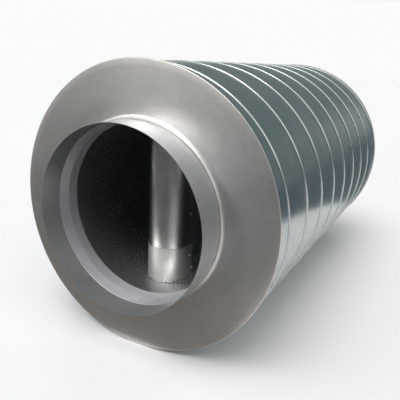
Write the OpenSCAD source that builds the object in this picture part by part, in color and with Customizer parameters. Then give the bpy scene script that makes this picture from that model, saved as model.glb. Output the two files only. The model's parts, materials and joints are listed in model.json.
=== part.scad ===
// Round duct sound attenuator: a spiral-wound casing with flat end caps and connection spigots,
// a perforated liner packed round with mineral wool, and a round-nosed splitter baffle inside.
// Millimetres. The duct axis runs along Y, the front mouth faces -Y and +Z is up.

/* [Casing] */
// Outside diameter of the spiral-wound casing, without its seams
casing_d = 630; // [560:1:800]
// Length over the outer faces of the two end caps
casing_l = 1040; // [700:1:1600]
// Sheet thickness of the casing
casing_sheet = 1; // [0.6:0.1:1.5]
// Distance along the casing from one turn of the lock seam to the next
seam_pitch = 122; // [80:1:160]
// Width of the lock seam at its foot
seam_w = 9; // [6:0.5:14]
// Height of the lock seam over the sheet
seam_h = 2.5; // [1:0.1:4]
// Distance of the first seam behind the front cap, on top of the casing
seam_start = 35; // [10:1:100]
// Width of the flange turned out at each end of the casing
flange_w = 3.5; // [2.5:0.1:8]

/* [End caps] */
// Sheet thickness of the end caps
cap_sheet = 1.2; // [0.8:0.1:2]
// Bend radius of the neck drawn out round the spigot
neck_r = 10; // [9:0.5:16]
// Height of the drawn neck over the cap's face
neck_h = 6.4; // [3:0.1:8]
// Width of the hem folded back behind the casing's flange
hem_lip = 2.5; // [1:0.1:3]

/* [Spigots] */
// Outside diameter of the spigots, which slide into a duct of nominal size
spigot_d = 399; // [315:1:450]
// Length of the spigots in front of the end caps
spigot_l = 80; // [40:1:150]
// Sheet thickness of the spigots
spigot_sheet = 1; // [0.6:0.1:1.5]
// Width of the flange turned out behind the end cap
spigot_flange_w = 16.5; // [14:0.5:25]
// How much the spigot's radius narrows at its root, which the cap's neck grips
root_step = 1; // [0.5:0.1:2]
// How far the narrowed root stands out of the neck
root_lead = 1.6; // [1:0.1:5]

/* [Inner rings] */
// How far the ring reaches into the spigot, in front of the cap's face
ring_reach = 27; // [10:1:35]
// How far the ring reaches into the liner, behind the cap's face
ring_tail = 25; // [12:1:60]
// How much the ring narrows the radius from spigot to liner
ring_step = 4; // [2:0.5:10]
// Sheet thickness of the rings
ring_sheet = 0.8; // [0.5:0.1:1.5]

/* [Liner and packing] */
// Sheet thickness of the perforated liner
liner_sheet = 0.8; // [0.5:0.1:1.5]
// Thickness of the fleece wrapped round the liner
liner_fleece_t = 0.8; // [0.4:0.1:2]

/* [Baffle] */
// Thickness of the baffle over its two noses
baffle_t = 100; // [60:1:140]
// Distance of the front nose behind the front cap's face, the same at the rear
nose_set_back = 83; // [65:1:150]
// Sheet thickness of the noses and of their feet
nose_sheet = 1; // [0.6:0.1:1.5]
// How far each nose laps along the baffle's flanks
nose_lap = 22; // [16:1:50]
// How far below the duct axis the foot sleeve of a nose begins
foot_drop = 109; // [60:1:125]
// Sheet thickness of the perforated side panels
panel_sheet = 0.8; // [0.5:0.1:1.5]
// Sheet thickness of the top and bottom rails
rail_sheet = 1.2; // [0.8:0.1:2]
// Depth of the rails' flanges behind the panels
rail_flange = 26; // [20:1:40]
// Thickness of the fleece behind the panels
panel_fleece_t = 0.6; // [0.4:0.1:1.5]

/* [Rivets] */
// Shank diameter of the rivets
rivet_d = 4; // [3:0.1:5]
// Head diameter of the rivets
rivet_head_d = 8; // [6:0.5:10]
// Head height of the rivets
rivet_head_h = 1.4; // [0.8:0.1:2]
// Rivets along each edge of a side panel
rail_rivets = 7; // [3:1:12]
// Rivets up each side of a nose, above its foot
nose_rivets = 3; // [2:1:5]
// Spacing of the rivets up a nose
nose_rivet_pitch = 90; // [40:1:110]

/* [Fits] */
// Clearance between sheets that slip into each other
slip = 0.1; // [0.05:0.01:0.2]
// Clearance between the baffle and the liner, and round the spigots
seat_gap = 0.2; // [0.1:0.05:0.4]
// Clearance between the mineral wool and the sheets that hold it
wool_gap = 0.3; // [0.1:0.05:0.6]

/* [Hidden] */
$fn = 96;
STEEL = [0.66, 0.67, 0.67];
BRIGHT = [0.78, 0.79, 0.79];
WOOL = [0.80, 0.74, 0.52];
FLEECE = [0.12, 0.12, 0.12];
past = 1;                                  // how far a cut runs past what it cuts

half_l = casing_l / 2;
casing_r = casing_d / 2;
casing_steps = 72;                         // flat steps in one turn of the casing
flange_r = casing_r + flange_w;
hem_gap = 0.3;                             // between the casing's flange and the bend of the hem
hem_r = flange_r + hem_gap;
hem_depth = 2 * cap_sheet + casing_sheet;

spigot_r = spigot_d / 2;
root_r = spigot_r - root_step;
root_l = neck_h + root_lead;
// The neck leans in until its lip holds the spigot's root
neck_lean = sqrt(pow(neck_r + cap_sheet, 2) - pow(neck_r - neck_h, 2));
neck_start_r = root_r + seat_gap + neck_lean;

ring_r = spigot_r - spigot_sheet - slip;
tail_r = ring_r - ring_step;
ring_bend = 2;                             // the ring's cone ends this far in front of the cap's face
liner_r = tail_r + slip;                   // inside radius of the liner
liner_out_r = liner_r + liner_sheet;
liner_end = cap_sheet + spigot_sheet + wool_gap;
fleece_r = liner_out_r + slip;
wool_in_r = fleece_r + liner_fleece_t + wool_gap;
wool_out_r = (casing_r - casing_sheet) * cos(180 / casing_steps) - wool_gap;

baffle_fit_r = liner_r - seat_gap;         // what the baffle's curved edges follow
nose_r = baffle_t / 2;
foot_in_r = nose_r + slip;
foot_r = foot_in_r + nose_sheet;
nose_y = nose_set_back + nose_r - half_l;  // the nose's vertical axis, along Y
panel_out = nose_r - nose_sheet - slip;    // the panel's outer face, along X
panel_in = panel_out - panel_sheet;
panel_edge = sqrt(pow(baffle_fit_r, 2) - pow(panel_out, 2)) - seat_gap;
panel_y = nose_y + past;                   // the panels' and rails' front end
rail_out = panel_in - slip;
rail_in = rail_out - rail_sheet;
rail_edge = sqrt(pow(baffle_fit_r - rail_sheet / 2, 2) - pow(rail_out, 2));
panel_fleece_out = panel_in - slip;
core_x = min(rail_in, panel_fleece_out - panel_fleece_t) - wool_gap;
core_r = baffle_fit_r - rail_sheet - wool_gap;
fleece_edge = rail_edge - rail_flange - wool_gap;

rivet_r = rivet_d / 2;
rivet_hole_r = rivet_r + slip;
rail_rivet_z = panel_edge - rail_flange / 2;
rail_rivet_y0 = nose_y + nose_lap + rivet_head_d;
rail_rivet_step = -2 * rail_rivet_y0 / (rail_rivets - 1);
nose_rivet_y = nose_y + nose_lap / 2;
nose_rivet_z0 = rail_rivet_z - rail_flange;
foot_rivet_z = -(foot_drop + panel_edge - rail_flange) / 2;

// Places

// Turns a shape made along Z so that its +Z points out of the front mouth
module along_duct() {
    rotate([90, 0, 0]) children();
}

// Puts a profile of radius and height at the front cap's outer face, with its height pointing out
module at_front() {
    along_duct() translate([0, 0, half_l]) rotate_extrude() children();
}

// Turns a front piece round to the rear end
module at_rear() {
    rotate([0, 0, 180]) children();
}

// A tube on the duct axis that stops short of each cap's outer face by the same distance
module duct_tube(r_in, r_out, short) {
    along_duct() translate([0, 0, short - half_l]) difference() {
        cylinder(r = r_out, h = casing_l - 2 * short);
        translate([0, 0, -past]) cylinder(r = r_in, h = casing_l - 2 * short + 2 * past);
    }
}

// Casing

// Height of the seam at a distance s behind the front cap: it dies away under the end flanges
function seam_rise(s) =
    seam_h * max(0, min(1, (s - cap_sheet - casing_sheet) / seam_w,
                        (casing_l - cap_sheet - casing_sheet - s) / seam_w));

// One section of the casing at a turn angle: pairs of radius and distance behind the front cap
function casing_section(turn) =
    let (
        s0 = cap_sheet,
        s1 = cap_sheet + casing_sheet,
        s2 = casing_l - s1,
        s3 = casing_l - s0,
        last = ceil((casing_l - seam_start) / seam_pitch),
        shape = [[-seam_w / 2, 0], [-seam_w / 4, 1], [seam_w / 4, 1], [seam_w / 2, 0]]
    )
    concat(
        [[casing_r - casing_sheet, s0], [flange_r, s0], [flange_r, s1], [casing_r, s1]],
        [for (k = [-2 : last], p = shape)
            let (s = max(s1, min(s2, seam_start + seam_pitch * (k + turn) + p[0])))
            [casing_r + p[1] * seam_rise(s), s]],
        [[casing_r, s2], [flange_r, s2], [flange_r, s3], [casing_r - casing_sheet, s3]]
    );

// Spiral-wound tube: one strip whose lock seam climbs the casing as a helix
module outer_casing() {
    sections = [for (i = [0 : casing_steps]) casing_section(i / casing_steps)];
    rows = len(sections[0]);
    points = [for (i = [0 : casing_steps], q = sections[i])
        let (a = 360 * (i % casing_steps) / casing_steps)
        [q[0] * sin(a), q[1] - half_l, q[0] * cos(a)]];
    quads = [for (i = [0 : casing_steps - 1], j = [0 : rows - 1])
        let (n = (j + 1) % rows)
        [i * rows + j, i * rows + n, (i + 1) * rows + n, (i + 1) * rows + j]];
    // Rows that meet at an end flange leave a triangle or nothing of their quad
    faces = [for (q = quads, t = [[q[0], q[1], q[2]], [q[0], q[2], q[3]]])
        if (points[t[0]] != points[t[1]] && points[t[1]] != points[t[2]]
            && points[t[2]] != points[t[0]]) t];
    color(STEEL) polyhedron(points, faces);
}

// End caps

// Section of an end cap: flat plate, drawn neck and the hem round the casing's flange
module cap_section() {
    translate([neck_start_r, -cap_sheet]) square([hem_r + cap_sheet - neck_start_r, cap_sheet]);
    intersection() {
        translate([neck_start_r, neck_r]) difference() {
            circle(neck_r + cap_sheet);
            circle(neck_r);
        }
        translate([neck_start_r - neck_r - cap_sheet, -cap_sheet])
            square([neck_r + cap_sheet, cap_sheet + neck_h]);
    }
    translate([hem_r, -hem_depth]) square([cap_sheet, hem_depth]);
    translate([hem_r - hem_lip, -hem_depth]) square([hem_lip + cap_sheet, cap_sheet]);
}

module front_end_cap() {
    color(STEEL) at_front() cap_section();
}

module rear_end_cap() {
    color(STEEL) at_rear() at_front() cap_section();
}

// Spigots

// Section of a spigot: straight collar, stepped root and a flange turned out behind the cap
module spigot_section() {
    behind = cap_sheet + spigot_sheet;
    polygon([
        [spigot_r, spigot_l], [spigot_r, root_l + root_step], [root_r, root_l],
        [root_r, -cap_sheet], [root_r + spigot_flange_w, -cap_sheet],
        [root_r + spigot_flange_w, -behind], [root_r - spigot_sheet, -behind],
        [root_r - spigot_sheet, root_l], [spigot_r - spigot_sheet, root_l + root_step],
        [spigot_r - spigot_sheet, spigot_l]
    ]);
}

module front_spigot() {
    color(STEEL) at_front() spigot_section();
}

module rear_spigot() {
    color(STEEL) at_rear() at_front() spigot_section();
}

// Section of the ring that leads from the spigot's bore into the narrower liner
module ring_section() {
    polygon([
        [ring_r, ring_reach], [tail_r, ring_bend], [tail_r, -ring_tail],
        [tail_r - ring_sheet, -ring_tail], [tail_r - ring_sheet, ring_bend],
        [ring_r - ring_sheet, ring_reach]
    ]);
}

module front_inner_ring() {
    color(BRIGHT) at_front() ring_section();
}

module rear_inner_ring() {
    color(BRIGHT) at_rear() at_front() ring_section();
}

// Liner and packing

module perforated_liner() {
    color(STEEL) duct_tube(liner_r, liner_out_r, liner_end);
}

module liner_fleece() {
    color(FLEECE) duct_tube(fleece_r, fleece_r + liner_fleece_t, liner_end);
}

module wool_jacket() {
    color(WOOL) duct_tube(wool_in_r, wool_out_r, liner_end);
}

// Baffle

// Half-round front with straight sides, seen from above, the round end towards -Y
module round_front(r, side_l) {
    intersection() {
        circle(r);
        translate([-r, -r]) square([2 * r, r]);
    }
    translate([-r, 0]) square([2 * r, side_l]);
}

// What lies inside a given radius of the duct axis
module inside_duct(r) {
    intersection() {
        children();
        along_duct() cylinder(r = r, h = casing_l, center = true);
    }
}

// A bent nose sheet standing between two heights, with the rivet holes in its laps
module nose_sheet_piece(r, z0, z1) {
    inside_duct(baffle_fit_r) difference() {
        translate([0, nose_y, z0]) linear_extrude(z1 - z0) difference() {
            round_front(r, nose_lap);
            round_front(r - nose_sheet, nose_lap + past);
        }
        nose_rivet_places() rivet_hole();
    }
}

module front_nose() {
    color(BRIGHT) nose_sheet_piece(nose_r, -liner_r, liner_r);
}

module rear_nose() {
    color(BRIGHT) at_rear() nose_sheet_piece(nose_r, -liner_r, liner_r);
}

module front_nose_foot() {
    color(BRIGHT) nose_sheet_piece(foot_r, -liner_r, -foot_drop);
}

module rear_nose_foot() {
    color(BRIGHT) at_rear() nose_sheet_piece(foot_r, -liner_r, -foot_drop);
}

// A flat perforated side of the baffle, on the +X side
module side_panel() {
    difference() {
        translate([panel_in, panel_y, -panel_edge])
            cube([panel_sheet, -2 * panel_y, 2 * panel_edge]);
        rail_rivet_places() rivet_hole();
        nose_rivet_places() rivet_hole();
        at_rear() nose_rivet_places() rivet_hole();
    }
}

module baffle_right_panel() {
    color(STEEL) side_panel();
}

module baffle_left_panel() {
    color(STEEL) mirror([1, 0, 0]) side_panel();
}

// A rail along the top of the baffle: a web curved like the liner, with a flange down each side
module rail() {
    difference() {
        along_duct() linear_extrude(-2 * panel_y, center = true) {
            intersection() {
                difference() {
                    circle(baffle_fit_r);
                    circle(baffle_fit_r - rail_sheet);
                }
                translate([-rail_out, 0]) square([2 * rail_out, baffle_fit_r]);
            }
            for (x = [-rail_out, rail_in])
                translate([x, rail_edge - rail_flange]) square([rail_sheet, rail_flange]);
        }
        rail_rivet_places() rivet_hole();
        mirror([1, 0, 0]) rail_rivet_places() rivet_hole();
    }
}

module baffle_top_rail() {
    color(STEEL) rail();
}

module baffle_bottom_rail() {
    color(STEEL) mirror([0, 0, 1]) rail();
}

// Mineral wool that fills the baffle between its panels and noses
module baffle_wool() {
    color(WOOL) inside_duct(core_r) translate([0, 0, -core_r]) linear_extrude(2 * core_r) {
        translate([0, nose_y]) round_front(core_x, -nose_y);
        rotate(180) translate([0, nose_y]) round_front(core_x, -nose_y);
    }
}

// Fleece behind the panel on the +X side, between the rails' flanges
module side_fleece() {
    translate([panel_fleece_out - panel_fleece_t, panel_y, -fleece_edge])
        cube([panel_fleece_t, -2 * panel_y, 2 * fleece_edge]);
}

module baffle_right_fleece() {
    color(FLEECE) side_fleece();
}

module baffle_left_fleece() {
    color(FLEECE) mirror([1, 0, 0]) side_fleece();
}

// Rivets

// Rivet places along both edges of the right panel
module rail_rivet_places() {
    for (i = [0 : rail_rivets - 1], z = [-rail_rivet_z, rail_rivet_z])
        translate([0, rail_rivet_y0 + i * rail_rivet_step, z]) children();
}

// Rivet places up both laps of the front nose, from the top down
module nose_lap_places() {
    for (i = [0 : nose_rivets - 1], turn = [0, 180])
        translate([0, nose_rivet_y, nose_rivet_z0 - i * nose_rivet_pitch])
            rotate([0, 0, turn]) children();
}

// The one place on each lap of the front nose's foot
module foot_lap_places() {
    for (turn = [0, 180])
        translate([0, nose_rivet_y, foot_rivet_z]) rotate([0, 0, turn]) children();
}

module nose_rivet_places() {
    nose_lap_places() children();
    foot_lap_places() children();
}

// Hole through the sheets on the +X side
module rivet_hole() {
    translate([rail_in - past, 0, 0]) rotate([0, 90, 0])
        cylinder(r = rivet_hole_r, h = foot_r - rail_in + 2 * past);
}

// A rivet that clamps the sheets between two distances along +X, with its head outside
module rivet(x_in, x_out) {
    translate([x_in, 0, 0]) rotate([0, 90, 0]) {
        cylinder(r = rivet_r, h = x_out - x_in + rivet_head_h / 2);
        translate([0, 0, x_out - x_in])
            cylinder(r1 = rivet_head_d / 2, r2 = rivet_head_d / 3, h = rivet_head_h);
    }
}

module right_panel_rivets() {
    color(BRIGHT) rail_rivet_places() rivet(rail_in, panel_out);
}

module left_panel_rivets() {
    color(BRIGHT) mirror([1, 0, 0]) rail_rivet_places() rivet(rail_in, panel_out);
}

// Rivets of one nose: the upper ones clamp nose and panel, the lowest the foot as well
module one_nose_rivets() {
    nose_lap_places() rivet(panel_in, nose_r);
    foot_lap_places() rivet(panel_in, foot_r);
}

module front_nose_rivets() {
    color(BRIGHT) one_nose_rivets();
}

module rear_nose_rivets() {
    color(BRIGHT) at_rear() one_nose_rivets();
}

outer_casing();
front_end_cap();
rear_end_cap();
front_spigot();
rear_spigot();
front_inner_ring();
rear_inner_ring();
perforated_liner();
liner_fleece();
wool_jacket();
front_nose();
rear_nose();
front_nose_foot();
rear_nose_foot();
baffle_left_panel();
baffle_right_panel();
baffle_top_rail();
baffle_bottom_rail();
baffle_wool();
baffle_left_fleece();
baffle_right_fleece();
left_panel_rivets();
right_panel_rivets();
front_nose_rivets();
rear_nose_rivets();
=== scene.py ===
# %% [markdown]
# # A duct sound attenuator
# This silencer sits in a round ventilation duct. Air goes in at one mouth, passes on both sides
# of a sound-absorbing baffle, and leaves at the other end. Everything that shows is galvanised
# sheet steel: wound, spun, rolled or punched. The CAD model is loaded first and never moved. Each
# visible sheet is then built again with its real bends, seam and holes, and takes the place of
# the plainer CAD solid.

# %% Load the frame
import json
import math

import bmesh
import bpy
import numpy as np
from mathutils import Matrix, Vector


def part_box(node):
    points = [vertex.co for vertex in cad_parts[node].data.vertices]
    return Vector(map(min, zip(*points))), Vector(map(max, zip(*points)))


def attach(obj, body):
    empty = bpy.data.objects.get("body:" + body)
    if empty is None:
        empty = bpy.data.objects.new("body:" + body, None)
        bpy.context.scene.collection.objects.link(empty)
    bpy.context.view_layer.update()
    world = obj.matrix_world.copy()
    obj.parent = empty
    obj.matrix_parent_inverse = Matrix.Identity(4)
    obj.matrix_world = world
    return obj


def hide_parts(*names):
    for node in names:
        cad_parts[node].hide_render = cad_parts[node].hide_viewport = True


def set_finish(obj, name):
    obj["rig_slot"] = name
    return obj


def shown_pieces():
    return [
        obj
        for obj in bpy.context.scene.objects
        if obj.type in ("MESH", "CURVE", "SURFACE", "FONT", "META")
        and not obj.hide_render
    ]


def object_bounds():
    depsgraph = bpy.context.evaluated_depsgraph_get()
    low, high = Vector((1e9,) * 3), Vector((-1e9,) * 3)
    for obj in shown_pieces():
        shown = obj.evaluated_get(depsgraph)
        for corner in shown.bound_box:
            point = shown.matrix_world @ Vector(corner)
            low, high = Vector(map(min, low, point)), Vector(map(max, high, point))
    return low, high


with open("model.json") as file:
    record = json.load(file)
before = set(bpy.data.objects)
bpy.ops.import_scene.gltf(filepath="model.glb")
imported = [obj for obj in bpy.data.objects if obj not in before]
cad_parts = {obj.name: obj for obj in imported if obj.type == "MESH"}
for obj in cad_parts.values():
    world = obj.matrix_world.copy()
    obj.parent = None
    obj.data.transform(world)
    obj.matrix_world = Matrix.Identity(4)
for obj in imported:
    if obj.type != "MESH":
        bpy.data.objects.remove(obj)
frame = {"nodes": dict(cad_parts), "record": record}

MM = 0.001
BODY = "root"
cad_low, cad_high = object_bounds()
print("CAD box", [round(v, 4) for v in cad_low], [round(v, 4) for v in cad_high])

# %% [markdown]
# ## The camera
# The view comes from the photograph: the ellipses of the cap, the mouth and the far rim fix where
# the lens stood. A camera could be aimed with a Track To constraint, but that hides the small
# roll of the picture. Plain turns are multiplied here instead: heading, tilt and roll. A new
# camera looks straight down, so a quarter turn first raises it to the level.

# %% Camera at the photograph's angle
CAMERA_PLACE = (0.5704, -1.3250, 0.3181)
CAMERA_HEADING, CAMERA_TILT, CAMERA_ROLL = 27.66, -16.18, -2.52
CAMERA_LENS, CAMERA_SENSOR = 43.2, 36.0

turned = (
    Matrix.Rotation(math.radians(CAMERA_HEADING), 4, "Z")
    @ Matrix.Rotation(math.radians(CAMERA_TILT), 4, "X")
    @ Matrix.Rotation(math.radians(CAMERA_ROLL), 4, "Y")
    @ Matrix.Rotation(math.radians(90), 4, "X")
)
camera = bpy.data.objects.new("camera", bpy.data.cameras.new("camera"))
camera.data.lens, camera.data.sensor_width = CAMERA_LENS, CAMERA_SENSOR
camera.matrix_world = Matrix.Translation(CAMERA_PLACE) @ turned
bpy.context.scene.collection.objects.link(camera)
bpy.context.scene.camera = camera
print("camera at", CAMERA_PLACE, "lens", CAMERA_LENS)

# %% [markdown]
# ## Turning points into a piece
# Every sheet below ends as a list of points and faces. One helper makes the mesh, welds points
# that meet, turns all faces outward and smooths the shading up to a sharp edge. Operators could do
# this too, but they act on whatever is selected, and a script does better without that. The helper
# also puts the piece on the object's one body, tags it with the record slot its finish comes from,
# and hides the CAD nodes it stands for.

# %% Mesh helper
WELD = 1e-6
SHARP_EDGE = 32


def sheet_piece(name, points, faces, slot, stands_for=(), sharp=SHARP_EDGE):
    """A piece of the object; edges that bend by more than sharp degrees stay hard."""
    mesh = bpy.data.meshes.new(name)
    mesh.from_pydata([tuple(map(float, p)) for p in points], [], faces)
    build = bmesh.new()
    build.from_mesh(mesh)
    bmesh.ops.remove_doubles(build, verts=build.verts, dist=WELD)
    bmesh.ops.recalc_face_normals(build, faces=build.faces)
    build.to_mesh(mesh)
    build.free()
    mesh.shade_smooth()
    mesh.set_sharp_from_angle(angle=math.radians(sharp))
    piece = bpy.data.objects.new(name, mesh)
    bpy.context.scene.collection.objects.link(piece)
    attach(piece, BODY)
    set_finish(piece, slot)
    if stands_for:
        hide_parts(*stands_for)
    mesh.calc_loop_triangles()
    print(name, len(mesh.loop_triangles), "triangles")


def other_end(points):
    """The same points at the rear end: half a turn about the upright axis."""
    return [(-x, -y, z) for x, y, z in points]


# %% [markdown]
# ## Spun and rolled rings
# The caps, spigots and inner rings are round, so each is a section spun about the duct's axis.
# A Screw modifier would do it too. A section made in code is easier to read: only the line along
# the middle of the sheet is written down, its corners get their bend radius, and half the
# thickness is added on each side. That is how a drawing of a bent sheet is made.

# %% Ring helpers
RING_STEPS = 192
BEND_STEPS = 7


def bent_line(corners, radii):
    """A line through the corners (radius, depth), each inner corner rounded to its bend radius."""
    corners = [np.array(c, float) for c in corners]
    line = [corners[0]]
    for before, corner, after, radius in zip(corners, corners[1:], corners[2:], radii):
        a, b = before - corner, after - corner
        a, b = a / np.linalg.norm(a), b / np.linalg.norm(b)
        half = math.acos(np.clip(a @ b, -1, 1)) / 2
        middle = (a + b) / np.linalg.norm(a + b)
        centre = corner + middle * radius / math.sin(half)
        start, end = corner + a * radius / math.tan(half), corner + b * radius / math.tan(half)
        for t in np.linspace(0, 1, BEND_STEPS):
            spoke = (start - centre) * (1 - t) + (end - centre) * t
            line.append(centre + spoke / np.linalg.norm(spoke) * radius)
    line.append(corners[-1])
    return np.array(line)


def sheet_section(line, thickness):
    """Both faces of a sheet, as one closed outline, from the line along its middle."""
    along = np.gradient(line, axis=0)
    along /= np.linalg.norm(along, axis=1)[:, None]
    across = np.stack([-along[:, 1], along[:, 0]], axis=1) * thickness / 2
    return np.vstack([line + across, (line - across)[::-1]])


def spun(section, steps=RING_STEPS):
    """Points and faces of a closed (radius, y) section turned about the duct's axis."""
    count = len(section)
    points, faces = [], []
    for i in range(steps):
        a = 2 * math.pi * i / steps
        points += [(r * math.sin(a), y, r * math.cos(a)) for r, y in section]
        here, there = i * count, (i + 1) % steps * count
        for j in range(count):
            k = (j + 1) % count
            faces.append((here + j, here + k, there + k, there + j))
    return points, faces


# %% [markdown]
# ## End caps
# A cap is a flat ring of 1.2 mm sheet. Its inner edge is drawn out into a short neck that grips
# the spigot, and its outer edge is folded over the flange of the casing as a hem. A disc with a
# bevel would look right from far away, but its rim would have no fold, so the line of the sheet is
# followed from neck to hem. Depths are counted from the cap's outer face, inward, so the neck
# stands at negative depth.

# %% End caps
CAP_SHEET = 1.2 * MM
CASING_SHEET = 1.0 * MM
CAP_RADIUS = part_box("front_end_cap")[1].x
CAP_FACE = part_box("outer_casing")[1].y + CAP_SHEET
NECK_LIP = -(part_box("front_end_cap")[0].y + CAP_FACE)
NECK_BEND = 10 * MM
NECK_START = 209.3 * MM
HEM_LIP = 2.5 * MM
NECK_STEPS, FACE_STEPS, HEM_STEPS = 14, 8, 12


def at_front(section):
    """A section counted from the cap's outer face, put at the front end."""
    return [(r, d - CAP_FACE) for r, d in section]


def cap_line():
    """The line along the middle of the cap's sheet: neck, face, hem and lip."""
    reach = NECK_BEND + CAP_SHEET / 2
    steepest = math.acos((NECK_BEND - NECK_LIP) / NECK_BEND)
    neck = [
        (NECK_START - reach * math.sin(t), reach * math.cos(t) - NECK_BEND)
        for t in np.linspace(steepest, 0, NECK_STEPS)
    ]
    fold = (CAP_SHEET + CASING_SHEET) / 2
    rim = CAP_RADIUS - CAP_SHEET / 2 - fold
    hem = [
        (rim + fold * math.sin(t), CAP_SHEET / 2 + fold - fold * math.cos(t))
        for t in np.linspace(0, math.pi, HEM_STEPS)
    ]
    lip = (CAP_RADIUS - CAP_SHEET - HEM_LIP, CAP_SHEET / 2 + 2 * fold)
    face = [(r, CAP_SHEET / 2) for r in np.linspace(NECK_START, rim, FACE_STEPS)[1:-1]]
    return np.array(neck + face + hem + [lip])


cap_points, cap_faces = spun(at_front(sheet_section(cap_line(), CAP_SHEET)))
sheet_piece("hemmed_cap_front", cap_points, cap_faces, "cap_steel", ["front_end_cap"])
sheet_piece("hemmed_cap_rear", other_end(cap_points), cap_faces, "cap_steel", ["rear_end_cap"])

# %% [markdown]
# ## Spigots and inner rings
# The spigot is the straight collar that a duct slides over. Its root is stepped in a little where
# the cap's neck grips it, and it ends in a flange behind the cap. The brighter band inside the
# mouth is a ring of its own, a cone that leads the air from the collar into the lining. Open
# cylinders with a Solidify modifier could stand for both, but their corners would be sharp, where
# bent sheet is round.

# %% Spigots and inner rings
SPIGOT_SHEET = 1.0 * MM
SPIGOT_RADIUS = 199.5 * MM
SPIGOT_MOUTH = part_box("front_spigot")[0].y + CAP_FACE
SPIGOT_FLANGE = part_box("front_spigot")[1].x
ROOT_STEP = 1.0 * MM
ROOT_REACH = -8.5 * MM
STEP_BEND, ROOT_BEND = 0.8 * MM, 2.0 * MM
RING_SHEET = 0.8 * MM
RING_BEND = 6.0 * MM
RING_FRONT, RING_BACK = (198.4 * MM, -27 * MM), (194.4 * MM, 25 * MM)
RING_KNEE = (194.4 * MM, -2 * MM)

middle = SPIGOT_RADIUS - SPIGOT_SHEET / 2
root = middle - ROOT_STEP
flange_depth = CAP_SHEET + SPIGOT_SHEET / 2
spigot_line = bent_line(
    [
        (middle, SPIGOT_MOUTH),
        (middle, ROOT_REACH - ROOT_STEP / 2),
        (root, ROOT_REACH + ROOT_STEP / 2),
        (root, flange_depth),
        (SPIGOT_FLANGE, flange_depth),
    ],
    [STEP_BEND, STEP_BEND, ROOT_BEND],
)
ring_line = bent_line([RING_FRONT, RING_KNEE, RING_BACK], [RING_BEND]) - (RING_SHEET / 2, 0)
for part, line, sheet, slot in (
    ("spigot", spigot_line, SPIGOT_SHEET, "cap_steel"),
    ("inner_ring", ring_line, RING_SHEET, "bright_steel"),
):
    points, faces = spun(at_front(sheet_section(line, sheet)))
    sheet_piece(f"rolled_{part}_front", points, faces, slot, [f"front_{part}"])
    sheet_piece(f"rolled_{part}_rear", other_end(points), faces, slot, [f"rear_{part}"])

# %% [markdown]
# ## The spiral-wound casing
# The casing is one long strip of sheet wound into a tube. Its edges are folded into each other
# and rolled flat, which leaves a ridge that runs round the tube as a helix. A curve with a bevel
# laid on a cylinder would only rest on it, so the tube is made as columns of points instead.
# Each column is one line along the tube, and its ridges sit a little further back than those of
# the column before it. After a full turn they have moved by one strip width, and the ends meet.

# %% Shape of the lock seam
CASING_RADIUS = 315 * MM
CASING_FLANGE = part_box("outer_casing")[1].x
CASING_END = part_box("outer_casing")[1].y
STRIP_WIDTH = 122 * MM
SEAM_START = 35 * MM
SEAM_HEIGHT = 2.5 * MM
SEAM_FADE = 9 * MM
STRIP_CROWN = 0.25 * MM
FLANGE_ROOT = 0.6 * MM
# The ridge as (mm along the tube, share of its height), then the strip's slight crown as
# (share of the strip's width, share of its height).
SEAM_RIDGE = [
    (-6.5, 0), (-5.2, 0.01), (-4.6, 0.03), (-4.25, 0.08), (-3.9, 0.235), (-2.65, 0.79),
    (-2.3, 0.925), (-1.9, 0.985), (-1.2, 1.0), (0.8, 1.0), (1.2, 0.97), (1.4, 0.84),
    (1.7, 0.8), (2.6, 0.76), (3.3, 0.6), (4.2, 0.16), (4.6, 0.05), (5.2, 0.01), (6.5, 0),
]
STRIP_ROWS = [(0.25, 0.75), (0.5, 1.0), (0.75, 0.75)]


def casing_column(turn):
    """One line along the casing, as (radius, y), with the inside last."""
    start, end = -CASING_END + CASING_SHEET, CASING_END - CASING_SHEET
    first = math.floor(-SEAM_START / STRIP_WIDTH) - 1
    last = math.ceil((end - start) / STRIP_WIDTH) + 1
    foot = CASING_RADIUS + FLANGE_ROOT
    rows = [(CASING_FLANGE, -CASING_END), (CASING_FLANGE, start), (foot, start)]
    for k in range(first, last):
        seam = SEAM_START - CAP_FACE + STRIP_WIDTH * (k + turn)
        shape = [(seam + dy * MM, h * SEAM_HEIGHT) for dy, h in SEAM_RIDGE]
        shape += [(seam + STRIP_WIDTH * f, c * STRIP_CROWN) for f, c in STRIP_ROWS]
        for y, height in shape:
            y = min(max(y, start), end)
            edge = min(min(y - start, end - y) / SEAM_FADE, 1)
            fade = edge**2 * (3 - 2 * edge)
            rows.append((CASING_RADIUS + height * fade, y))
    rows += [(foot, end), (CASING_FLANGE, end), (CASING_FLANGE, CASING_END)]
    inside = CASING_RADIUS - CASING_SHEET
    return rows + [(inside, CASING_END), (inside, -CASING_END)]


print("seams", round(STRIP_WIDTH / MM), "mm apart,", round(SEAM_HEIGHT / MM, 1), "mm high")

# %% Casing from its columns
CASING_COLUMNS = 240
CASING_SHARP_EDGE = 40
casing_points, casing_faces = [], []
for i in range(CASING_COLUMNS + 1):
    a = 2 * math.pi * i / CASING_COLUMNS
    column = casing_column(i / CASING_COLUMNS)
    casing_points += [(r * math.sin(a), y, r * math.cos(a)) for r, y in column]
column_rows = len(column)
for i in range(CASING_COLUMNS):
    here, there = i * column_rows, (i + 1) * column_rows
    for j in range(column_rows):
        k = (j + 1) % column_rows
        casing_faces.append((here + j, here + k, there + k, there + j))
sheet_piece(
    "spiral_casing", casing_points, casing_faces, "casing_steel", ["outer_casing"],
    sharp=CASING_SHARP_EDGE,
)

# %% [markdown]
# ## Perforated sheet
# The lining and the sides of the baffle are punched all over, so that sound reaches the wool
# behind them. Holes could be painted with a transparent material, but near the mouth the eye
# sees their walls. Here each hole is real. The sheet is a brick pattern of cells, each with an
# eight-sided hole in its middle, and every second row is shifted by half a cell, as on a
# punching line. Another function says where a flat point of the sheet ends up.

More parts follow.
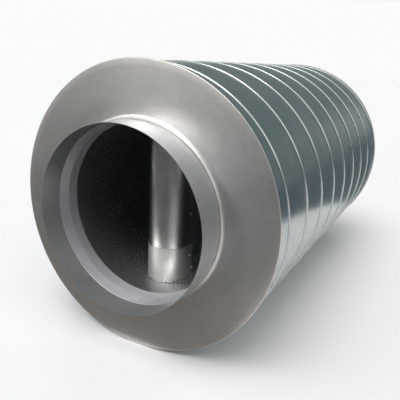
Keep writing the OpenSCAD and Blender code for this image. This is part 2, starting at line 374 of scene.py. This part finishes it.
# %% Perforated sheet helper
HOLE_RADIUS = 3.65 * MM
HOLE_PITCH = 11.0 * MM
HOLE_SIDES = 8


def punched(columns, rows, pitch, closed, place, first_shift=0):
    """Points, faces and a corner finder of a sheet with staggered holes."""
    span = 2 * columns + (0 if closed else 1)
    step, rise = pitch / 2, pitch * math.sqrt(3) / 2
    rim_turns = [2 * math.pi * n / HOLE_SIDES for n in range(HOLE_SIDES)]
    rim = [(HOLE_RADIUS * math.cos(t), HOLE_RADIUS * math.sin(t)) for t in rim_turns]

    def corner(side, row, k):
        return (side * (rows + 1) + row) * span + (k % span if closed else k)

    points = [
        place(k * step, row * rise, side)
        for side in (0, 1) for row in range(rows + 1) for k in range(span)
    ]
    faces = []
    for row in range(rows):
        shift = (row + first_shift) % 2
        if shift and not closed:
            for side in (0, 1):
                for k in (0, span - 2):
                    faces.append((
                        corner(side, row, k), corner(side, row, k + 1),
                        corner(side, row + 1, k + 1), corner(side, row + 1, k),
                    ))
        for i in range(columns if closed else columns - shift):
            k = 2 * i + shift
            rims = []
            for side in (0, 1):
                h = list(range(len(points), len(points) + HOLE_SIDES))
                points += [
                    place((k + 1) * step + u, (row + 0.5) * rise + v, side) for u, v in rim
                ]
                b = [corner(side, row, k + n) for n in range(3)]
                t = [corner(side, row + 1, k + n) for n in range(3)]
                faces += [
                    (t[1], h[2], h[1], t[2]), (t[2], h[1], h[0], h[7], b[2]),
                    (b[2], h[7], h[6], b[1]), (b[1], h[6], h[5], b[0]),
                    (b[0], h[5], h[4], h[3], t[0]), (t[0], h[3], h[2], t[1]),
                ]
                rims.append(h)
            for n in range(HOLE_SIDES):
                m = (n + 1) % HOLE_SIDES
                faces.append((rims[0][n], rims[0][m], rims[1][m], rims[1][n]))
    return points, faces, corner


# %% [markdown]
# ## The lining
# The lining is a perforated tube with a plain margin at each end. One mesh could hold it all, but
# it would be heavy, so it is drawn in four bands that meet between rows of holes. The rear two are
# the front two turned round, with their rows shifted so that the stagger runs on across the middle
# of the duct.

# %% Perforated lining
LINER_SHEET = 0.8 * MM
LINER_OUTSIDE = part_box("perforated_liner")[1].x
LINER_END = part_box("perforated_liner")[1].y
LINER_COLUMNS = 111
LINER_ROWS = 46
BAND_ROWS = LINER_ROWS // 2
liner_pitch = 2 * math.pi * LINER_OUTSIDE / LINER_COLUMNS
liner_rise = liner_pitch * math.sqrt(3) / 2
liner_field = LINER_ROWS * liner_rise
print("plain margin of the lining", round((LINER_END - liner_field) / MM, 1), "mm")


def on_liner(s, t, side):
    """Where a flat point of the sheet, s round and t along, lies on the tube."""
    a, r = s / LINER_OUTSIDE, LINER_OUTSIDE - LINER_SHEET * side
    return (r * math.sin(a), t - liner_field, r * math.cos(a))


def liner_band(first_row, first_shift):
    """Points and faces of a band of rows; the band of row 0 has the plain margin."""

    def place(s, t, side):
        return on_liner(s, t + first_row * liner_rise, side)

    points, faces, corner = punched(
        LINER_COLUMNS, BAND_ROWS, liner_pitch, True, place, first_row + first_shift
    )
    span = 2 * LINER_COLUMNS
    start, end = (
        [[corner(side, row, k) for k in range(span)] for side in (0, 1)] for row in (0, BAND_ROWS)
    )
    if first_row == 0:
        margin = []
        for side in (0, 1):
            margin.append(list(range(len(points), len(points) + span)))
            points += [
                on_liner(k * liner_pitch / 2, liner_field - LINER_END, side) for k in range(span)
            ]
            faces += [
                (margin[side][k], margin[side][k - 1], start[side][k - 1], start[side][k])
                for k in range(span)
            ]
        start = margin
    for rim in (start, end):
        faces += [(rim[0][k], rim[0][k - 1], rim[1][k - 1], rim[1][k]) for k in range(span)]
    return points, faces


for name, first_row, stands_for in (("end", 0, ["perforated_liner"]), ("middle", BAND_ROWS, [])):
    points, faces = liner_band(first_row, 0)
    sheet_piece(f"lining_front_{name}", points, faces, "liner_steel", stands_for)
    points, faces = liner_band(first_row, 1)
    sheet_piece(f"lining_rear_{name}", other_end(points), faces, "liner_steel")

# %% [markdown]
# ## Baffle sides
# Each side of the baffle is a flat punched sheet with plain borders, where the rails and noses
# are riveted on. The borders could be filled with a grid too, but they are flat, so four single
# faces do.

# %% Baffle sides
PANEL_COLUMNS = 63
PANEL_ROWS = 31
panel_low, panel_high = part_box("baffle_right_panel")
panel_rise = PANEL_ROWS * HOLE_PITCH * math.sqrt(3) / 2
panel_run = PANEL_COLUMNS * HOLE_PITCH


def on_panel(s, t, side):
    """Where a flat point of the sheet, s along and t up, lies on the baffle's right side."""
    x = panel_high.x if side else panel_low.x
    return (x, s - panel_run / 2, t - panel_rise / 2)


panel_points, panel_faces, cell = punched(PANEL_COLUMNS, PANEL_ROWS, HOLE_PITCH, False, on_panel)
last = 2 * PANEL_COLUMNS
rims = []
for side in (0, 1):
    x = panel_high.x if side else panel_low.x
    rim = list(range(len(panel_points), len(panel_points) + 4))
    panel_points += [
        (x, panel_low.y, panel_low.z), (x, panel_high.y, panel_low.z),
        (x, panel_high.y, panel_high.z), (x, panel_low.y, panel_high.z),
    ]
    panel_faces += [
        [rim[0], rim[1]] + [cell(side, 0, k) for k in range(last, -1, -1)],
        [rim[1], rim[2]] + [cell(side, row, last) for row in range(PANEL_ROWS, -1, -1)],
        [rim[2], rim[3]] + [cell(side, PANEL_ROWS, k) for k in range(last + 1)],
        [rim[3], rim[0]] + [cell(side, row, 0) for row in range(PANEL_ROWS + 1)],
    ]
    rims.append(rim)
for n in range(4):
    m = (n + 1) % 4
    panel_faces.append((rims[0][n], rims[0][m], rims[1][m], rims[1][n]))
sheet_piece("punched_side_right", panel_points, panel_faces, "liner_steel", ["baffle_right_panel"])
sheet_piece(
    "punched_side_left", other_end(panel_points), panel_faces, "liner_steel", ["baffle_left_panel"]
)

# %% [markdown]
# ## Noses and feet of the baffle
# The air meets the baffle at a half-round nose, rolled from bright sheet and cut at top and
# bottom to the curve of the lining. Round its lower end goes a wider sleeve, the foot. A Boolean
# could cut both from a tube, but it leaves uneven faces, which show in bright metal. Here both are
# the same bent sheet: a plan line of straight flank, half circle and straight flank, raised from
# the curve of the lining to its own top.

# %% Noses and feet
NOSE_SHEET = 1.0 * MM
NOSE_ROWS = 24
NOSE_ARC_STEPS = 56
FIT_RADIUS = 194.3 * MM
nose_low, nose_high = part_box("front_nose")
foot_low, foot_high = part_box("front_nose_foot")


def rolled_sheet(low, high, top=None):
    """Points and faces of a half-round sheet that fills a node's box; its top is flat if given."""
    radius, axis = high.x, low.y + high.x
    points, faces = [], []
    turns = np.linspace(math.pi / 2, -math.pi / 2, NOSE_ARC_STEPS)
    for side in (radius, radius - NOSE_SHEET):
        plan = [(side, high.y)] + [(side * math.sin(t), axis - side * math.cos(t)) for t in turns]
        plan.append((-side, high.y))
        for x, y in plan:
            reach = math.sqrt(FIT_RADIUS**2 - x * x)
            for z in np.linspace(-reach, reach if top is None else top, NOSE_ROWS):
                points.append((x, y, z))
    count = NOSE_ARC_STEPS + 2
    layer = count * NOSE_ROWS

    def at(side, i, j):
        return side * layer + i * NOSE_ROWS + j

    for i in range(count - 1):
        for j in range(NOSE_ROWS - 1):
            for side in (0, 1):
                faces.append((
                    at(side, i, j), at(side, i + 1, j),
                    at(side, i + 1, j + 1), at(side, i, j + 1),
                ))
        for j in (0, NOSE_ROWS - 1):
            faces.append((at(0, i, j), at(0, i + 1, j), at(1, i + 1, j), at(1, i, j)))
    for i in (0, count - 1):
        for j in range(NOSE_ROWS - 1):
            faces.append((at(0, i, j), at(0, i, j + 1), at(1, i, j + 1), at(1, i, j)))
    return points, faces


for part, points_and_faces in (
    ("nose", rolled_sheet(nose_low, nose_high)),
    ("nose_foot", rolled_sheet(foot_low, foot_high, foot_high.z)),
):
    points, faces = points_and_faces
    sheet_piece(f"rolled_{part}_front", points, faces, "bright_steel", [f"front_{part}"])
    sheet_piece(f"rolled_{part}_rear", other_end(points), faces, "bright_steel", [f"rear_{part}"])

# %% [markdown]
# ## Rivets
# Blind rivets hold the baffle together. A real head is a low dome with a dimple where the pin
# broke off. A UV sphere cut in half has no dimple, so the head is a small spun outline, copied to
# each place.

# %% Rivet heads
RIVET_HEAD = 4.0 * MM
RIVET_RISE = 1.4 * MM
RIVET_STEPS = 16
RIVET_OUTLINE = [
    (0.0, 0.62), (0.22, 0.62), (0.3, 0.98), (0.5, 0.96), (0.75, 0.78), (0.93, 0.42),
    (1.0, 0.1), (1.0, 0.0),
]


def rivet_heads(places):
    """Points and faces of heads at (x of the sheet's face, y, z), facing away from the middle."""
    points, faces = [], []
    rows = len(RIVET_OUTLINE)
    for x, y, z in places:
        base = len(points)
        out = math.copysign(1, x)
        for i in range(RIVET_STEPS):
            a = 2 * math.pi * i / RIVET_STEPS
            outline = [
                (h * RIVET_RISE, r * RIVET_HEAD * math.sin(a), r * RIVET_HEAD * math.cos(a))
                for r, h in RIVET_OUTLINE
            ]
            points += [(x + out * rise, y + dy, z + dz) for rise, dy, dz in outline]
            here, there = base + i * rows, base + (i + 1) % RIVET_STEPS * rows
            for j in range(rows - 1):
                faces.append((here + j, here + j + 1, there + j + 1, there + j))
        faces.append([base + i * rows + rows - 1 for i in range(RIVET_STEPS)])
    return points, faces


# %% Rivets in their places
RAIL_RIVET_START, RAIL_RIVET_STEP, RAIL_RIVET_COUNT = -357 * MM, 119 * MM, 7
RAIL_RIVET_HEIGHT = 174.85 * MM
NOSE_RIVET_DEPTH = -376 * MM
RAIL_RIVETS = [
    (RAIL_RIVET_START + RAIL_RIVET_STEP * i, z)
    for z in (RAIL_RIVET_HEIGHT, -RAIL_RIVET_HEIGHT) for i in range(RAIL_RIVET_COUNT)
]
NOSE_RIVETS = [(NOSE_RIVET_DEPTH, z * MM) for z in (148.85, 58.85, -31.15)]
FOOT_RIVET = (NOSE_RIVET_DEPTH, -135.4 * MM)
side_x = panel_high.x
nose_places = [(s * nose_high.x, y, z) for s in (1, -1) for y, z in NOSE_RIVETS]
nose_places += [(s * foot_high.x, *FOOT_RIVET) for s in (1, -1)]
for name, places, node in (
    ("rivets_right", [(side_x, y, z) for y, z in RAIL_RIVETS], "right_panel_rivets"),
    ("rivets_left", [(-side_x, y, z) for y, z in RAIL_RIVETS], "left_panel_rivets"),
    ("rivets_nose_front", nose_places, "front_nose_rivets"),
    ("rivets_nose_rear", other_end(nose_places), "rear_nose_rivets"),
):
    points, faces = rivet_heads(places)
    sheet_piece(name, points, faces, "rivet_steel", [node])

# %% [markdown]
# ## Galvanised steel
# Hot-dip zinc freezes in crystals, the spangle, and each crystal reflects a little differently.
# Rolling leaves a fine grain, handling leaves cloudy patches, and thin sheet is never quite flat.
# A picture of real sheet would repeat along the casing, so one builder makes all the steels from
# patterns: a Voronoi one for the crystals, a slow noise for the clouds, a fine noise for the grain
# and another slow one for the dents. The steels differ in colour, gloss, the strength and size of
# these, and how far a dull film covers the metal. The noses and feet have no grain.

# %% Node helpers
def part_of(tree, kind, settings=None, inputs=None):
    """A new node with its settings; an input is a plain value or another node's socket."""
    made = tree.nodes.new(kind)
    for key, value in (settings or {}).items():
        setattr(made, key, value)
    for key, value in (inputs or {}).items():
        if isinstance(value, bpy.types.NodeSocket):
            tree.links.new(value, made.inputs[key])
        else:
            made.inputs[key].default_value = value
    return made


def start_material(name):
    """A fresh node material: its tree, its shader and the object coordinates."""
    material = bpy.data.materials.new(name)
    material.use_nodes = True
    tree = material.node_tree
    shader = next(n for n in tree.nodes if n.type == "BSDF_PRINCIPLED")
    place = part_of(tree, "ShaderNodeTexCoord").outputs["Object"]
    return material, tree, shader, place


def ramp_between(tree, factor, low, high):
    """Two colours mixed by a factor socket."""
    mix = part_of(tree, "ShaderNodeMix", {"data_type": "RGBA"})
    tree.links.new(factor, mix.inputs["Factor"])
    mix.inputs["A"].default_value, mix.inputs["B"].default_value = (*low, 1), (*high, 1)
    return mix.outputs["Result"]


def spread(tree, value, low, high, from_low=0.0, from_high=1.0):
    """A value socket carried from one range to another."""
    made = part_of(
        tree, "ShaderNodeMapRange", None,
        {
            "Value": value, "From Min": from_low, "From Max": from_high,
            "To Min": low, "To Max": high,
        },
    )
    return made.outputs["Result"]


# %% Galvanised steel builder
CLOUD_SCALE, CLOUD_RANGE = 7.0, (0.3, 0.7)
DENT_SCALE, DENT_DEPTH = 9.0, 4 * MM
GRAIN_SCALE, GRAIN_DEPTH = 420.0, 0.2 * MM


def galvanised(name, dark, light, gloss, spangle, dent=0.1, grain=0.06, sparkle=0.35, metal=1.0):
    """Zinc-coated sheet; gloss is (lowest, highest) roughness and spangle the crystal size in m."""
    material, tree, shader, place = start_material(name)
    crystal = part_of(tree, "ShaderNodeTexVoronoi", None, {"Vector": place, "Scale": 1 / spangle})
    shade = part_of(tree, "ShaderNodeSeparateColor", None, {"Color": crystal.outputs["Color"]})
    clouds = part_of(
        tree, "ShaderNodeTexNoise", None,
        {"Vector": place, "Scale": CLOUD_SCALE, "Detail": 4.0, "Roughness": 0.6},
    )

    def mottled(channel):
        """One random value of each crystal, with the clouds added to it."""
        cloudy = spread(tree, clouds.outputs["Fac"], 0, 1 - sparkle, *CLOUD_RANGE)
        return part_of(
            tree, "ShaderNodeMath", {"operation": "MULTIPLY_ADD"},
            {0: shade.outputs[channel], 1: sparkle, 2: cloudy},
        ).outputs[0]

    tree.links.new(ramp_between(tree, mottled("Red"), dark, light), shader.inputs["Base Color"])
    tree.links.new(spread(tree, mottled("Green"), *gloss), shader.inputs["Roughness"])
    shader.inputs["Metallic"].default_value = metal

    slow = part_of(
        tree, "ShaderNodeTexNoise", None, {"Vector": place, "Scale": DENT_SCALE, "Detail": 1.0}
    )
    waves = part_of(
        tree, "ShaderNodeBump", None,
        {"Strength": dent, "Distance": DENT_DEPTH, "Height": slow.outputs["Fac"]},
    )
    skin = waves
    if grain:
        fine = part_of(
            tree, "ShaderNodeTexNoise", None,
            {"Vector": place, "Scale": GRAIN_SCALE, "Detail": 2.0},
        )
        skin = part_of(
            tree, "ShaderNodeBump", None,
            {"Strength": grain, "Distance": GRAIN_DEPTH, "Height": fine.outputs["Fac"],
             "Normal": waves.outputs["Normal"]},
        )
    tree.links.new(skin.outputs["Normal"], shader.inputs["Normal"])
    return material


# %% The steels
casing_zinc = galvanised(
    "casing_zinc", (0.40, 0.45, 0.455), (0.55, 0.545, 0.535), (0.20, 0.30), 18 * MM, dent=0.12
)
cap_zinc = galvanised(
    "cap_zinc", (0.55, 0.52, 0.495), (0.63, 0.60, 0.575), (0.38, 0.46), 9 * MM, dent=0.12
)
spigot_zinc = galvanised(
    "spigot_zinc", (0.51, 0.52, 0.525), (0.59, 0.60, 0.605), (0.30, 0.38), 9 * MM,
    dent=0.08, metal=0.82,
)
bright_zinc = galvanised(
    "bright_zinc", (0.52, 0.505, 0.47), (0.62, 0.605, 0.57), (0.27, 0.33), 24 * MM,
    grain=0, sparkle=0.1,
)
foot_zinc = galvanised(
    "foot_zinc", (0.50, 0.485, 0.45), (0.60, 0.585, 0.55), (0.46, 0.54), 12 * MM,
    grain=0, sparkle=0.15, metal=0.9,
)
ring_zinc = galvanised(
    "ring_zinc", (0.55, 0.56, 0.585), (0.65, 0.66, 0.685), (0.40, 0.50), 6 * MM,
    dent=0.05, metal=0.68,
)
# The lining's steel is darker than the record gives: painted shade for the inside of the duct,
# which the baffle's sides share.
liner_zinc = galvanised(
    "liner_zinc", (0.36, 0.37, 0.38), (0.46, 0.47, 0.48), (0.26, 0.34), 8 * MM, metal=0.92
)
rivet_zinc = galvanised(
    "rivet_zinc", (0.62, 0.62, 0.62), (0.74, 0.74, 0.74), (0.24, 0.34), 3 * MM, dent=0.05
)
print("steels", [m.name for m in bpy.data.materials if m.name.endswith("_zinc")])

# %% [markdown]
# ## Fleece and wool
# Behind the holes lies black glass fleece, and behind that mineral wool. The fleece is felt-like:
# short fibres in all directions. Hair strands could show each one, but that is far too heavy for
# what is seen through small holes. Noise stretched in two directions stands for them. The wool is
# laid in layers and is yellow-brown. Both keep their CAD shape and get their finish here.

# %% Fleece and wool
FIBRE_STRETCHES = ((1.0, 0.12, 1.0), (0.12, 1.0, 0.4))
FIBRE_RANGE = (0.4, 0.75)
FUZZ_STRENGTH, FUZZ_DEPTH = 0.5, 0.6 * MM


def fibrous(name, dark, light, fibre, rough):
    """Felt or wool of matt fibres; fibre is their spacing in m."""
    material, tree, shader, place = start_material(name)
    laid = []
    for stretch in FIBRE_STRETCHES:
        mapped = part_of(tree, "ShaderNodeMapping", None, {"Vector": place, "Scale": stretch})
        strands = part_of(
            tree, "ShaderNodeTexNoise", None,
            {
                "Vector": mapped.outputs["Vector"], "Scale": 1 / fibre,
                "Detail": 5.0, "Roughness": 0.7,
            },
        )
        laid.append(strands.outputs["Fac"])
    crossed = part_of(tree, "ShaderNodeMath", {"operation": "MAXIMUM"}, {0: laid[0], 1: laid[1]})
    height = spread(tree, crossed.outputs[0], 0, 1, *FIBRE_RANGE)
    tree.links.new(ramp_between(tree, height, dark, light), shader.inputs["Base Color"])
    shader.inputs["Roughness"].default_value = rough
    fuzz = part_of(
        tree, "ShaderNodeBump", None,
        {"Strength": FUZZ_STRENGTH, "Distance": FUZZ_DEPTH, "Height": height},
    )
    tree.links.new(fuzz.outputs["Normal"], shader.inputs["Normal"])
    return material


black_fleece = fibrous("black_fleece", (0.012, 0.012, 0.012), (0.06, 0.06, 0.058), 2.5 * MM, 0.95)
yellow_wool = fibrous("yellow_wool", (0.42, 0.35, 0.17), (0.74, 0.66, 0.40), 4 * MM, 1.0)
print("fibres", black_fleece.name, yellow_wool.name)

# %% [markdown]
# ## Giving each piece its finish
# Every piece named a record slot when it was made, and every CAD node that still shows has one in
# the record. Each could get its material where it is made, but one table from slot to material
# dresses them all in one place. In the photograph the inner rings, the spigots and the feet of the
# noses differ from the other pieces of their slots, so a second table gives these a finish of
# their own.

# %% Finishes
FINISHES = {
    "casing_steel": casing_zinc,
    "cap_steel": cap_zinc,
    "bright_steel": bright_zinc,
    "liner_steel": liner_zinc,
    "rivet_steel": rivet_zinc,
    "fleece": black_fleece,
    "mineral_wool": yellow_wool,
}
OWN_FINISHES = {"inner_ring": ring_zinc, "spigot": spigot_zinc, "nose_foot": foot_zinc}
node_slots = {p["node"]: p["material_slot"] for p in frame["record"]["subparts"]}
cad_nodes = {obj.name: name for name, obj in frame["nodes"].items()}
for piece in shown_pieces():
    slot = node_slots[cad_nodes[piece.name]] if piece.name in cad_nodes else piece["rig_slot"]
    finish = FINISHES[slot]
    for part, own_finish in OWN_FINISHES.items():
        if part in piece.name:
            finish = own_finish
    piece.data.materials.clear()
    piece.data.materials.append(finish)
    print(piece.name, slot, finish.name)

# %% [markdown]
# ## Floor
# The floor is plain and pale, and goes on to the horizon. It carries the object's soft shadow,
# and the underside of the casing mirrors it. A backdrop that curves up could hide the horizon, but
# it would stand in the way from other sides, so the floor stays flat.

# %% Floor
FLOOR_REACH = 30.0
FLOOR_DARK, FLOOR_LIGHT = (0.915, 0.90, 0.898), (0.935, 0.92, 0.918)
FLOOR_CLOUD_SCALE = 2.0
FLOOR_ROUGHNESS = 0.9
floor_mesh = bpy.data.meshes.new("floor")
floor_corners = [
    (x * FLOOR_REACH, y * FLOOR_REACH, cad_low.z)
    for x, y in ((-1, -1), (1, -1), (1, 1), (-1, 1))
]
floor_mesh.from_pydata(floor_corners, [], [(0, 1, 2, 3)])
floor = bpy.data.objects.new("floor", floor_mesh)
bpy.context.scene.collection.objects.link(floor)
pale, pale_tree, pale_shader, pale_place = start_material("pale_floor")
pale_clouds = part_of(
    pale_tree, "ShaderNodeTexNoise", None, {"Vector": pale_place, "Scale": FLOOR_CLOUD_SCALE}
)
pale_tree.links.new(
    ramp_between(pale_tree, pale_clouds.outputs["Fac"], FLOOR_DARK, FLOOR_LIGHT),
    pale_shader.inputs["Base Color"],
)
pale_shader.inputs["Roughness"].default_value = FLOOR_ROUGHNESS
floor_mesh.materials.append(pale)
print("floor at", round(cad_low.z, 4))

# %% [markdown]
# ## The room
# A metal object looks like the room it stands in, so the room is painted on the sky. Its ceiling
# is a dull grey-green. Pale walls stand all round but at the right behind the object: through that
# opening the upper half of the casing mirrors the dull sky, as in the photograph. The wall behind
# the camera is left out too, so that less light reaches the left inside of the mouth. The wall is
# nearly white where the camera looks. A strip of light arches over the object from side to side.
# The front flanks of the lock seams mirror it and show as bright lines, while the plain sheet
# between them does not. Image-based light could do the same, but a painted room needs no file.

# %% Ceiling
SKY_BANDS = [
    (0.00, (0.17, 0.22, 0.23)), (0.45, (0.19, 0.25, 0.26)), (0.85, (0.50, 0.52, 0.53)),
]
world = bpy.data.worlds.new("studio")
world.use_nodes = True
bpy.context.scene.world = world
sky = world.node_tree
heading = part_of(sky, "ShaderNodeTexCoord").outputs["Generated"]
compass = part_of(sky, "ShaderNodeSeparateXYZ", None, {"Vector": heading}).outputs
rearward, upward = compass["Y"], compass["Z"]
bands = part_of(sky, "ShaderNodeValToRGB", None, {"Fac": upward})
bands.color_ramp.elements.new(SKY_BANDS[1][0])
for element, (height, colour) in zip(bands.color_ramp.elements, SKY_BANDS):
    element.position, element.color = height, (*colour, 1)
print("ceiling in", len(SKY_BANDS), "bands")


# %% Painting helpers
def painted(under, colour, *edges):
    """The sky with one colour laid over it, where all the edge factors are 1."""
    cover = edges[0]
    for edge in edges[1:]:
        cover = part_of(
            sky, "ShaderNodeMath", {"operation": "MULTIPLY"}, {0: cover, 1: edge}
        ).outputs[0]
    mix = part_of(sky, "ShaderNodeMix", {"data_type": "RGBA"}, {"Factor": cover})
    sky.links.new(under, mix.inputs["A"])
    mix.inputs["B"].default_value = (*colour, 1)
    return mix.outputs["Result"]


def towards(direction):
    """How far a ray heads in a direction: 1 straight along it, 0 across it."""
    return part_of(
        sky, "ShaderNodeVectorMath", {"operation": "DOT_PRODUCT"}, {0: heading, 1: direction}
    ).outputs["Value"]


# %% Walls
WALL = (0.80, 0.79, 0.78)
WALL_TOP = (0.30, 0.45)
OPENING_HEADING = (0.68, 0.73, 0.0)
OPENING_EDGE = (0.05, 0.35)
CAMERA_SIDE = (0.62, -0.78, 0.0)
CAMERA_SIDE_EDGE = (0.10, 0.50)
room = painted(
    bands.outputs["Color"], WALL, spread(sky, upward, 1, 0, *WALL_TOP),
    spread(sky, towards(OPENING_HEADING), 1, 0, *OPENING_EDGE),
    spread(sky, towards(CAMERA_SIDE), 1, 0, *CAMERA_SIDE_EDGE),
)
print("walls open towards", OPENING_HEADING, "and", CAMERA_SIDE)

# %% Light strip and backdrop
LIGHT_STRIP = (1.30, 1.32, 1.32)
LIGHT_STRIP_FRONT = (-0.60, -0.50)
LIGHT_STRIP_REAR = (-0.07, 0.03)
LIGHT_STRIP_FOOT = (0.15, 0.30)
BACKDROP = (0.96, 0.96, 0.96)
BACKDROP_HEADING = (-0.464, 0.886, 0.0)
BACKDROP_EDGE = (0.76, 0.88)
BACKDROP_TOP = (0.118, 0.128)
room = painted(
    room, LIGHT_STRIP,
    spread(sky, rearward, 0, 1, *LIGHT_STRIP_FRONT),
    spread(sky, rearward, 1, 0, *LIGHT_STRIP_REAR),
    spread(sky, upward, 0, 1, *LIGHT_STRIP_FOOT),
)
room = painted(
    room, BACKDROP, spread(sky, towards(BACKDROP_HEADING), 0, 1, *BACKDROP_EDGE),
    spread(sky, upward, 1, 0, *BACKDROP_TOP),
)
background = next(n for n in sky.nodes if n.type == "BACKGROUND")
sky.links.new(room, background.inputs["Color"])
background.inputs["Strength"].default_value = 1.0
print("light strip", LIGHT_STRIP, "and backdrop", BACKDROP)

# %% [markdown]
# ## Dark cards
# A mirror-like tube shows what is around it, and an endless pale floor leaves it little contrast.
# The photograph shows a crisp edge along the casing and dark strips on the nose. In a studio, black
# cards give such strips. Two flat cards do it here, which the camera doesn't see and which throw no
# shadow. Darkening the metal itself would not do, because a reflection has to move with the view.
# The front card also keeps light from the floor out of the mouth. It is clear from below, or the
# floor under it would lose its light. Both cards take no light but glow with fixed dull colours: a
# painted reflection of a dark room behind, and in front a painted reflection of the floor, brighter
# near the object and darker further off.

# %% Dark cards
CARD_LIFT = 2 * MM
CARDS = {
    "card_behind": [(0.12, 0.72), (0.36, 0.82), (20, 0.9), (20, 25), (0.10, 25), (0.10, 4.0)],
    "card_in_front": [
        (-0.8, -0.53), (0.22, -0.53), (0.22, -0.9), (0.45, -1.1), (2.5, -1.2), (12, -15),
        (-12, -15), (-2.4, -1.0),
    ],
}
# Glow colours of the cards: painted reflections of a dark room, and of the floor in front.
CARD_BEHIND_SHADE = (0.07, 0.11, 0.13)
CARD_FAR_SHADE = (0.05, 0.06, 0.06)
CARD_NEAR_SHADE = (0.22, 0.21, 0.20)
CARD_FADE = (-1.8, -0.6)


def clear_from_below(tree, shader):
    """Lets light that comes from below pass through a flat piece."""
    clear = part_of(tree, "ShaderNodeBsdfTransparent").outputs[0]
    below = part_of(tree, "ShaderNodeNewGeometry").outputs["Backfacing"]
    one_sided = part_of(
        tree, "ShaderNodeMixShader", None, {0: below, 1: shader.outputs[0], 2: clear}
    )
    output = next(n for n in tree.nodes if n.type == "OUTPUT_MATERIAL")
    tree.links.new(one_sided.outputs[0], output.inputs["Surface"])


def dark_card(name, outline):
    """A flat card just above the floor that the camera doesn't see, glowing with a painted dark
    colour.
    """
    mesh = bpy.data.meshes.new(name)
    # The front card's outline runs clockwise from above, so taken backwards its face looks up.
    face = tuple(reversed(range(len(outline))))
    mesh.from_pydata([(x, y, cad_low.z + CARD_LIFT) for x, y in outline], [], [face])
    card = bpy.data.objects.new(name, mesh)
    bpy.context.scene.collection.objects.link(card)
    dull, tree, shader, place = start_material(name)
    in_front = name == "card_in_front"
    # Painted reflection: the front card glows brighter near the object and darker further off, the
    # rear one an even dark blue-green.
    if in_front:
        clear_from_below(tree, shader)
        along = part_of(tree, "ShaderNodeSeparateXYZ", None, {"Vector": place}).outputs["Y"]
        nearness = spread(tree, along, 0, 1, *CARD_FADE)
        tree.links.new(
            ramp_between(tree, nearness, CARD_FAR_SHADE, CARD_NEAR_SHADE),
            shader.inputs["Emission Color"],
        )
    else:
        shader.inputs["Emission Color"].default_value = (*CARD_BEHIND_SHADE, 1)
    shader.inputs["Base Color"].default_value = (0, 0, 0, 1)
    shader.inputs["Emission Strength"].default_value = 1.0
    shader.inputs["Roughness"].default_value = 1.0
    dull.cycles.emission_sampling = "NONE"
    mesh.materials.append(dull)
    card.visible_camera = card.visible_shadow = False
    card.visible_diffuse = in_front


for name, outline in CARDS.items():
    dark_card(name, outline)
print("cards", list(CARDS))

# %% [markdown]
# ## Lamps
# A wide sun gives the soft key light from above and in front. An area lamp could do it too, but
# its light fades with distance, and under a sun the floor is even. It stands well to the front, so
# that few seams along the top edge mirror it. Two soft spots help it. One makes the cap glow above
# the front spigot, whose top mirrors that glow. The other reaches into the mouth, down to the ring
# and the foot of the nose.

# %% Lamps
SUN_PLACE, SUN_POWER, SUN_ANGLE = (0.0, -0.50, 0.87), 1.4, 40
SPOT_BLEND = 1.0
# Each spot's place, aim, power in W, cone in degrees and radius in m.
SPOTS = {
    "collar_spot": ((-0.69, -1.81, 0.89), (0.09, -0.55, 0.19), 75, 13, 0.15),
    "mouth_spot": ((0.15, -1.75, 1.35), (0.0, -0.51, -0.15), 240, 7.5, 0.1),
}


def lamp(name, kind, place, aim, energy, **settings):
    """A lamp of a kind at a place, turned to its aim."""
    data = bpy.data.lights.new(name, kind)
    data.energy = energy
    for key, value in settings.items():
        setattr(data, key, value)
    obj = bpy.data.objects.new(name, data)
    obj.location = place
    obj.rotation_mode = "QUATERNION"
    obj.rotation_quaternion = (Vector(aim) - Vector(place)).to_track_quat("-Z", "Y")
    bpy.context.scene.collection.objects.link(obj)


lamp("key_sun", "SUN", SUN_PLACE, (0, 0, 0), SUN_POWER, angle=math.radians(SUN_ANGLE))
for name, (place, aim, power, cone, radius) in SPOTS.items():
    lamp(
        name, "SPOT", place, aim, power,
        spot_size=math.radians(cone), spot_blend=SPOT_BLEND, shadow_soft_size=radius,
    )
bpy.context.scene.view_settings.view_transform = "Standard"
print("lamps", ["key_sun", *SPOTS])
